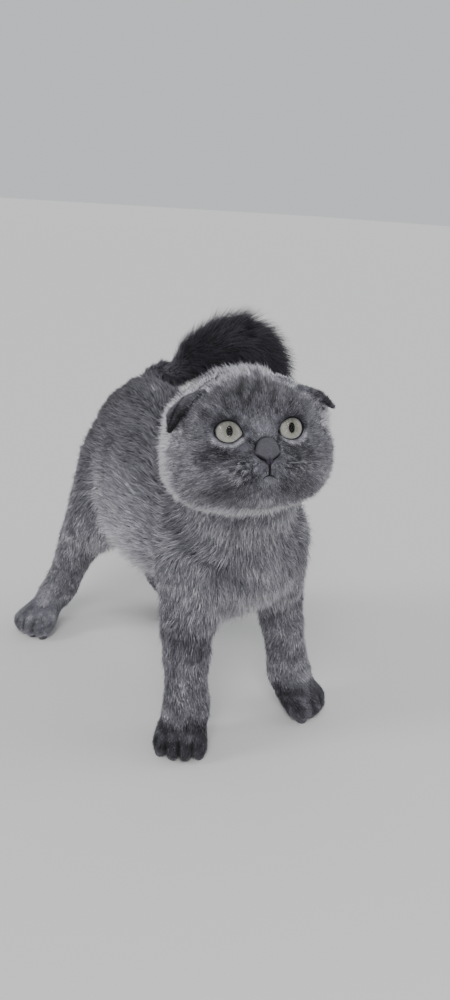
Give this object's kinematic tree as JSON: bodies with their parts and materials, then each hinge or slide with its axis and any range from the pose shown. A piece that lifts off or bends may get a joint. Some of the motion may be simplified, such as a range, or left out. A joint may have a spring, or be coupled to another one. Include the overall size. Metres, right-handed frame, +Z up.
{
  "type": "scottish fold cat",
  "caption": "Life-size still model of a folded-ear kitten, braced with arched back, head turned up to its right and bristled tail hooked over; a display figure that stands on its paws.",
  "frame": {"origin": "middle of the underside of the bounding box, on the floor", "axes": "+Z up, the cat faces -Y, its right side is -X"},
  "size_m": [0.1594, 0.2406, 0.2328],
  "materials": {
    "coat": "short dense plush coat, blue-grey with paler frosted tips",
    "dark_coat": "charcoal coat of tail, ear backs and paws",
    "eye": "polished, pale grey-green iris behind a clear front",
    "nose_leather": "fine grained, slightly damp"
  },
  "bodies": {
    "root": {"head": "coat", "neck": "coat", "chest": "coat", "loin": "coat", "rump": "coat", "foreleg_right": "coat", "foreleg_left": "coat", "hindleg_right_thigh": "coat", "hindleg_left_thigh": "coat", "hindleg_right_shank": "coat", "hindleg_left_shank": "coat", "ear_right": "dark_coat", "ear_left": "dark_coat", "tail_base": "dark_coat", "tail_middle": "dark_coat", "tail_tip": "dark_coat", "forepaw_right": "dark_coat", "forepaw_left": "dark_coat", "hindleg_right_foot": "dark_coat", "hindleg_left_foot": "dark_coat", "eye_right": "eye", "eye_left": "eye", "nose": "nose_leather"}
  },
  "joints": []
}
